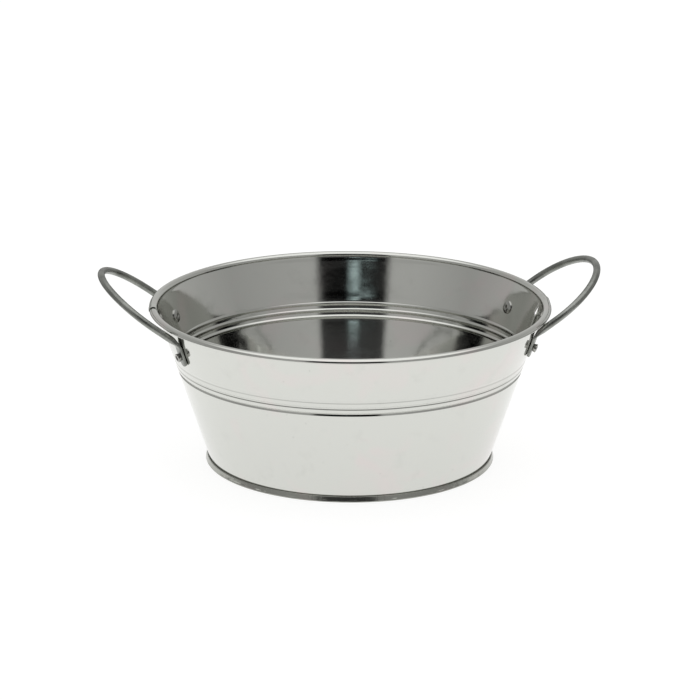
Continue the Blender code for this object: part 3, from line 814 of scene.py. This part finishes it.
def makeBase():
    # a turned profile: the panel, down to the floor, out under the wall, up round it and tucked down inside;
    # the ring's outer face is moved in by the chatter marks, which are smoothed random steps plus one sine
    layer, thickness = sheet["layer"], sheet["thickness"]
    inner, outer, corner = footMid - layer, footMid + 3 * layer, base["corner"]
    ground = thickness / 2
    quarter = np.linspace(0, math.pi / 2, base["roundRows"])
    turnOver = np.linspace(0, math.pi, 2 * base["roundRows"])
    faceZ = np.linspace(ground + corner, foldHigh, 9)[1:]
    tuckZ = np.linspace(foldHigh, foldLow, 5)[1:]
    underside = span(inner + corner, outer - corner, 5)[1:]
    topOut, topIn = foldReach(foldHigh, 3), foldReach(foldHigh, 1)
    panel = span(base["pinhole"], inner - corner, base["panelRows"])
    r = np.concatenate([
        panel,
        inner - corner + corner * np.sin(quarter),
        inner + corner - corner * np.cos(quarter),
        underside,
        outer - corner + corner * np.sin(quarter),
        footMid + foldReach(faceZ, 3),
        footMid + (topOut + topIn) / 2 + (topOut - topIn) / 2 * np.cos(turnOver),
        footMid + foldReach(tuckZ, 1),
    ])
    z = np.concatenate([
        base["panelHeight"] + base["crown"] * (1 - (panel / inner) ** 2) ** 2,
        base["panelHeight"] - corner + corner * np.cos(quarter),
        ground + corner - corner * np.sin(quarter),
        np.full(len(underside), ground),
        ground + corner - corner * np.cos(quarter),
        faceZ,
        foldHigh + layer * np.sin(turnOver),
        tuckZ,
    ])
    theta = roundTurn(base["columns"])
    draw = np.random.default_rng(7)
    marks = draw.normal(size=base["columns"])
    swing = base["chatterSwing"] * np.sin(3 * theta)
    even = np.sin(base["chatterWaves"] * theta + swing)
    marks = (marks + np.roll(marks, 1)) / 2 + base["chatterShare"] * even
    onRing = ease((r - (outer - base["chatterInside"])) / base["chatterEdge"]) * ease(z / base["chatterRise"])
    radius = r[:, None] - base["chatter"] * onRing[:, None] * marks[None, :]
    points = polar(radius, theta, z[:, None])
    turns = np.linspace(0, 2 * math.pi, base["columns"] + 1)
    alongBase = lengthAlong(np.stack([r, z], axis=1))
    uv = np.stack(np.broadcast_arrays(turns[None, :] * outer, alongBase[:, None]), axis=-1)
    piece = gridMesh("seamed_base", points, uv, baseFinish, around=True, caps=(0,))
    thicken(piece)
    assign(piece, "base_disc")


makeBase()
print("base seamed on")


handle = {
    "wireRadius": 0.0023,
    "flatHalfWidth": 0.00335,
    "flatHalfThickness": 0.0010,
    "flatEnd": 0.0781,          # height of each flattened end's lower tip
    "clearance": 0.0003,
    "flatTo": 0.0908,           # height where the strip begins to turn away and to round
    "rounding": 0.0085,         # length over which it becomes a round wire again
    "kink": 0.0938,             # height of the bend away from the wall
    "kinkLift": 0.0003,
    "kinkReach": 0.0040,
    "tilt": 35.9,
    "reach": 0.0560,            # from the bends to the loop's tip
    "leg": 0.0155,
    "squareness": 0.62,         # 0 keeps the flat ends elliptical, towards 1 they turn rectangular
    "sides": 40,
    "tipRows": 12,
    "tipStart": 0.12,           # radians round the tip's outline where its first row lies
    "tipThickness": 0.75,       # share of the full thickness at the very tip, and rows until it is full
    "tipThicken": 5,
    "stripRows": 8,
    "bendRows": 22,
    "legRows": 10,
    "loopRows": 60,
}


def legLine(z, lift):
    # points up the wall at the rear rivet's bearing, lifted off the wall's outer face
    radius = wallRadius(z) + sheet["thickness"] / 2 + lift * math.cos(slopeAngle)
    return polar(radius, math.radians(rivet["turn"]), z - lift * math.sin(slopeAngle))


def makeHandle(name, node, side):
    # a section carried along a path: up the wall, a curved kink, a straight leg and a quarter of an ellipse,
    # then its mirror image; the section is a circle, pressed to a rounded flat (a superellipse) at the ends
    wire, wide, thin = handle["wireRadius"], handle["flatHalfWidth"], handle["flatHalfThickness"]
    lift = handle["clearance"] + thin
    flatTop = rivetMiddle + wide
    tip = 1 - np.cos(np.linspace(handle["tipStart"], math.pi / 2, handle["tipRows"]))
    zTip = handle["flatEnd"] + tip * wide
    zFlat = np.linspace(zTip[-1], flatTop, handle["tipRows"])[1:]
    zStrip = np.linspace(flatTop, handle["flatTo"], handle["stripRows"])[1:]
    up = legLine(np.concatenate([zTip, zFlat, zStrip]), lift)
    corner = legLine(np.array([handle["kink"]]), lift + handle["kinkLift"])[0]
    tilt = math.radians(handle["tilt"])
    outward = np.array([math.cos(tilt), 0.0, math.sin(tilt)])
    t = np.linspace(0, 1, handle["bendRows"])[1:, None]
    after = corner + outward * handle["kinkReach"]
    bend = up[-1] * (1 - t) ** 2 + corner * 2 * t * (1 - t) + after * t ** 2
    middle = np.array([corner[0], 0.0, corner[2]]) + outward * handle["leg"]
    leg = after + np.linspace(0, 1, handle["legRows"])[1:-1, None] * (middle + [0, corner[1], 0] - after)
    turn = np.linspace(0, math.pi / 2, handle["loopRows"])[:, None]
    loop = (middle + np.array([0, corner[1], 0]) * np.cos(turn)
            + outward * (handle["reach"] - handle["leg"]) * np.sin(turn))
    path = np.concatenate([up, bend, leg, loop])
    along = lengthAlong(path)
    rounding = ease((along - along[len(up) - 1]) / handle["rounding"])
    halfWide = wide + rounding * (wire - wide)
    halfWide[:len(zTip)] *= np.sqrt(1 - (1 - tip) ** 2)
    halfThin = thin + rounding * (wire - thin)
    thinned = 1 - handle["tipThickness"]
    halfThin[:len(zTip)] *= 1 - thinned + thinned * ease(np.arange(len(zTip)) / handle["tipThicken"])
    power = 1 - handle["squareness"] * (1 - rounding)
    along = np.gradient(path, axis=0)
    along[-1] = (0.0, -1.0, 0.0)
    along /= np.linalg.norm(along, axis=1, keepdims=True)
    bearing = math.radians(rivet["turn"])
    level = math.cos(slopeAngle)
    wallNormal = np.array([math.cos(bearing) * level, math.sin(bearing) * level, -math.sin(slopeAngle)])
    loopNormal = np.array([math.sin(tilt), 0.0, -math.cos(tilt)])
    turned = ease((np.arange(len(path)) - len(up)) / len(bend))[:, None]
    guide = wallNormal * (1 - turned) + loopNormal * turned
    upward = guide - along * np.sum(guide * along, axis=1, keepdims=True)
    upward /= np.linalg.norm(upward, axis=1, keepdims=True)
    sideways = np.cross(upward, along)
    angle = roundTurn(handle["sides"]) + math.pi / handle["sides"]
    c, s = np.cos(angle)[None, :], np.sin(angle)[None, :]
    x = halfWide[:, None] * np.sign(c) * np.abs(c) ** power[:, None]
    y = halfThin[:, None] * np.sign(s) * np.abs(s) ** power[:, None]
    half = path[:, None] + sideways[:, None] * x[..., None] + upward[:, None] * y[..., None]
    points = np.concatenate([half, half[-2::-1] * [1, -1, 1]])
    points = points * [side, side, 1]
    full = np.concatenate([path, path[-2::-1] * [1, -1, 1]])
    turns = np.linspace(0, 2 * math.pi * wire, handle["sides"] + 1)
    uv = np.stack(np.broadcast_arrays(turns[None, :], lengthAlong(full)[:, None]), axis=-1)
    piece = gridMesh(name, points, uv, handleFinish, around=True, caps=(0, len(points) - 1))
    for end in (1, -1):
        drill(piece, rivetMatrix(bearing * end + (0 if side > 0 else math.pi)))
    settle(piece, sharp=50)
    assign(piece, node)


def rivetMatrix(azimuth):
    # frame on the wall's outer face with +Z along its outward normal
    outward = Vector((math.cos(azimuth), math.sin(azimuth), 0.0))
    normal = outward * math.cos(slopeAngle) - Vector((0.0, 0.0, math.sin(slopeAngle)))
    across = Vector((-math.sin(azimuth), math.cos(azimuth), 0.0))
    turned = Matrix((across, normal.cross(across), normal)).transposed().to_4x4()
    return Matrix.Translation(rivetSpot(azimuth)) @ turned


def drill(piece, matrix):
    # cuts a rivet's hole through a flattened end with a closed cylinder, then removes the cylinder
    count = rivet["drillSides"]
    ring = polar(rivet["hole"], roundTurn(count), -rivet["drillReach"])
    points = np.stack([ring, ring * [1, 1, -1]])
    cutter = gridMesh("drill", points, np.zeros((2, count + 1, 2)), handleFinish, around=True, caps=(0, 1))
    cutter.data.transform(matrix)
    hole = piece.modifiers.new("hole", "BOOLEAN")
    hole.operation = "DIFFERENCE"
    hole.object = cutter
    settle(piece)
    bpy.data.objects.remove(cutter, do_unlink=True)


makeHandle("right_wire_handle", "handle_right", 1)
makeHandle("left_wire_handle", "handle_left", -1)
print("handles bent")


fastener = {
    "shank": 0.00175,
    "flange": 0.0045,
    "flangeThickness": 0.0016,
    "bulb": 0.0028,
    "bulbLength": 0.0024,
    "bore": 0.0011,
    "cavity": 0.0017,
    "cavityDepth": 0.0018,
    "stem": 0.00085,
    "head": 0.0014,
    "sides": 64,
    "rows": 14,                 # along the tail, and 2 fewer over the dome
    "wallGap": 0.00004,         # clearance under the flange, and under the tail
    "tailGap": 0.00002,
    "edge": 0.00025,            # height of the flange's rim, and width of its flat round the bore
    "lip": 0.00015,             # how far the bore's rounded mouth sinks behind the dome's top
    "tailWaist": 0.80,          # tail's radius at its foot against its widest
    "tailSwell": 1.9,           # radians of the sine that swells it, and that sine's power
    "tailPower": 0.8,
    "mouth": 0.0004,            # width of the tail's open end
    "round": 0.0001,
    "mouthRound": 0.00008,
    "stemFlat": 0.0003,         # the snapped end: a flat middle, a cone and a torn edge
    "stemTear": 0.55,
    "stemDepths": (0.00060, 0.00042, 0.00052),
    "headRound": 0.0004,
    "headArc": (0.15, 1.35),    # radians of the dome that closes the mandrel's head
    "headRows": 8,
    "weld": 0.000001,
}


def makeTurned(name, profile, material, matrix, closed):
    # radius and height pairs turned round the axis; a closed profile joins up, an open one is capped
    profile = np.array(profile)
    if closed:
        profile = np.concatenate([profile, profile[:1]])
    points = polar(profile[:, :1], roundTurn(fastener["sides"]), profile[:, 1:])
    turns = np.linspace(0, 2 * math.pi, fastener["sides"] + 1) * fastener["bulb"]
    uv = np.stack(np.broadcast_arrays(turns[None, :], lengthAlong(profile)[:, None]), axis=-1)
    caps = () if closed else (0, len(profile) - 1)
    piece = gridMesh(name, points, uv, material, around=True, caps=caps)
    if closed:
        weld = piece.modifiers.new("weld", "WELD")
        weld.merge_threshold = fastener["weld"]
    settle(piece, sharp=50)
    piece.data.transform(matrix)
    return piece


def makeRivet(spot, azimuth):
    # a domed flange inside, a tube through both sheets and a barrel-shaped tail, with its broken mandrel
    matrix = rivetMatrix(azimuth)
    flange, bore, shank = fastener["flange"], fastener["bore"], fastener["shank"]
    edge, tiny, cavity = fastener["edge"], fastener["round"], fastener["cavity"]
    back = -sheet["thickness"] + wall["dimple"] - fastener["wallGap"]
    face = back - fastener["flangeThickness"]
    dome = np.linspace(0.0, math.pi / 2, fastener["rows"] - 2)
    domeR = bore + edge + (flange - bore - edge) * np.sin(dome)
    domeZ = back - edge - (fastener["flangeThickness"] - edge) * np.cos(dome)
    foot = handle["clearance"] + 2 * handle["flatHalfThickness"] + fastener["tailGap"]
    end = foot + fastener["bulbLength"]
    barrel = np.linspace(0.0, 1.0, fastener["rows"])
    swell = np.sin(barrel * fastener["tailSwell"]) ** fastener["tailPower"]
    barrelR = fastener["bulb"] * (fastener["tailWaist"] + (1 - fastener["tailWaist"]) * swell)
    barrelZ = foot + barrel * (fastener["bulbLength"] - tiny)
    profile = [(bore, face + fastener["lip"]), (bore + tiny, face + fastener["wallGap"])]
    profile += list(zip(domeR, domeZ))
    profile += [(flange, back), (shank, back), (shank, foot)]
    profile += list(zip(barrelR, barrelZ))
    profile += [(cavity + fastener["mouth"], end), (cavity, end - fastener["mouthRound"])]
    profile += [(cavity, end - fastener["cavityDepth"]), (bore, end - fastener["cavityDepth"])]
    body = makeTurned("rivet_body_" + spot, profile, rivetFinish, matrix, closed=True)
    assign(body, "rivet_" + spot)
    stem, head, domed = fastener["stem"], fastener["head"], fastener["headRound"]
    seat = end - fastener["cavityDepth"] + tiny
    curve = np.linspace(*fastener["headArc"], fastener["headRows"])
    snapped = zip((fastener["stemFlat"], fastener["stemTear"] * stem, stem), fastener["stemDepths"])
    mandrel = [(radius, face + depth) for radius, depth in snapped] + [(stem, seat), (head, seat)]
    mandrel += [(head * math.cos(a), end - domed + domed * math.sin(a)) for a in curve]
    pin = makeTurned("broken_mandrel_" + spot, mandrel, mandrelFinish, matrix, closed=False)
    assign(pin, "mandrel_" + spot)


turn = math.radians(rivet["turn"])
for spot, azimuth in (("right_rear", turn), ("right_front", -turn),
                      ("left_rear", math.pi - turn), ("left_front", math.pi + turn)):
    makeRivet(spot, azimuth)
print("rivets set")
